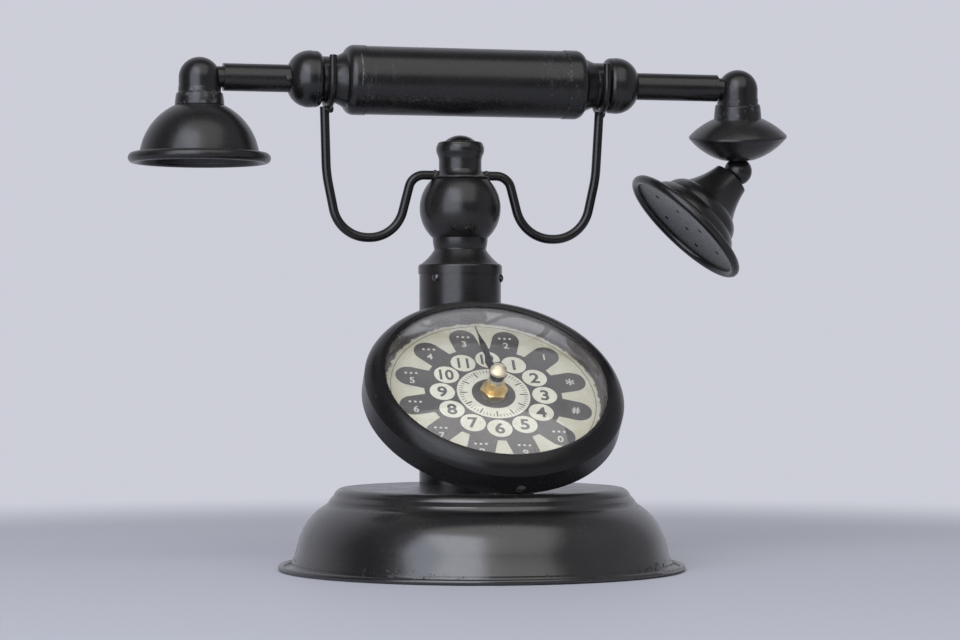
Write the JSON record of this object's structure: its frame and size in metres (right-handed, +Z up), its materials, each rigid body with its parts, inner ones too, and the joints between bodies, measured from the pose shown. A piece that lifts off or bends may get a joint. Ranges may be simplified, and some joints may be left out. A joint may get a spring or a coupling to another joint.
{
  "type": "telephone-shaped table clock",
  "caption": "Black table clock shaped like an antique desk telephone: leaning round dial on a spun base, handset lifting off a wire cradle, tilting horn mouthpiece.",
  "frame": {"origin": "centre of the round base, on the table", "axes": "+Z up; -Y is the front, where the dial faces; +X is the mouthpiece end of the handset"},
  "size_m": [0.3067, 0.178, 0.2334],
  "materials": {
    "black_paint": "satin black, dusty and scuffed",
    "handset_paint": "satin black",
    "zinc_steel": "zinc plated",
    "dial_print": "printed, aged cream",
    "spacer_black": "gloss black",
    "glass": "clear",
    "movement_plastic": "moulded, matt",
    "rubber": "matt",
    "brass": "turned",
    "cap_gold": "pale gold",
    "hand_black": "black lacquer",
    "battery_label": "plain printed sleeve"
  },
  "bodies": {
    "stand": {"base_shell": "black_paint", "base_washer": "zinc_steel", "base_nut": "zinc_steel", "tie_rod": "zinc_steel", "column_tube": "black_paint", "column_collar": "black_paint", "collar_screws": "black_paint", "neck_ring": "black_paint", "column_ball": "black_paint", "finial": "black_paint", "cradle_arm_left": "black_paint", "cradle_arm_right": "black_paint", "cradle_fork_left": "black_paint", "cradle_fork_right": "black_paint", "clock_bezel": "black_paint", "drum_welds": "black_paint", "clock_case": "black_paint", "bezel_screws": "black_paint", "dial": "dial_print", "glass_spacer": "spacer_black", "clock_glass": "glass", "movement_case": "movement_plastic", "movement_gasket": "rubber", "movement_bush": "brass", "bush_washer": "zinc_steel", "dial_nut": "brass", "battery": "battery_label", "battery_contacts": "zinc_steel"},
    "handset": {"handset_rod": "handset_paint", "grip_sleeve": "handset_paint", "grip_end_left": "handset_paint", "grip_end_right": "handset_paint", "bead_left": "handset_paint", "bead_right": "handset_paint", "elbow_left": "handset_paint", "elbow_right": "handset_paint", "earpiece_collar": "handset_paint", "earpiece_bell": "handset_paint", "earpiece_screw": "zinc_steel", "mouthpiece_collar": "handset_paint", "saucer_upper": "handset_paint", "saucer_lower": "handset_paint", "mouthpiece_screw": "zinc_steel"},
    "swivel": {"swivel_ball": "handset_paint", "swivel_washer": "zinc_steel", "swivel_nut": "zinc_steel"},
    "horn": {"horn": "handset_paint", "horn_grille": "handset_paint", "horn_stud": "zinc_steel", "stud_cap": "zinc_steel", "horn_nut": "zinc_steel"},
    "minute": {"minute_arbor": "brass", "minute_hand": "hand_black", "hand_cap": "cap_gold"},
    "hour": {"hour_pipe": "brass", "hour_hand": "hand_black"},
    "setting": {"setting_knob": "movement_plastic"}
  },
  "joints": [
    {"name": "handset_lift", "type": "slide", "parent": "stand", "child": "handset", "axis": [0, 0, 1], "range_m": [0, 0.05]},
    {"name": "horn_swivel", "type": "hinge", "parent": "handset", "child": "swivel", "pos_m": [0.13431, 0.04918, 0.17959], "axis": [-0.0523, -0.1476, 0.9877], "continuous": true},
    {"name": "horn_tilt", "type": "hinge", "parent": "swivel", "child": "horn", "pos_m": [0.13431, 0.04918, 0.17959], "axis": [-0.1407, 0.9802, 0.139], "range_deg": [-48.1, 9.4]},
    {"name": "minute_turn", "type": "hinge", "parent": "stand", "child": "minute", "pos_m": [0, -0.02177, 0.07676], "axis": [0, 0.6481, -0.7615], "continuous": true},
    {"name": "hour_turn", "type": "hinge", "parent": "stand", "child": "hour", "pos_m": [0, -0.02177, 0.07676], "axis": [0, 0.6481, -0.7615], "continuous": true},
    {"name": "setting_turn", "type": "hinge", "parent": "stand", "child": "setting", "pos_m": [0, -0.00255, 0.06961], "axis": [0, 0.6481, -0.7615], "continuous": true}
  ],
  "couplings": [
    {"joint": "hour_turn", "follows": "minute_turn", "ratio": 0.083333},
    {"joint": "setting_turn", "follows": "minute_turn", "ratio": 1}
  ]
}
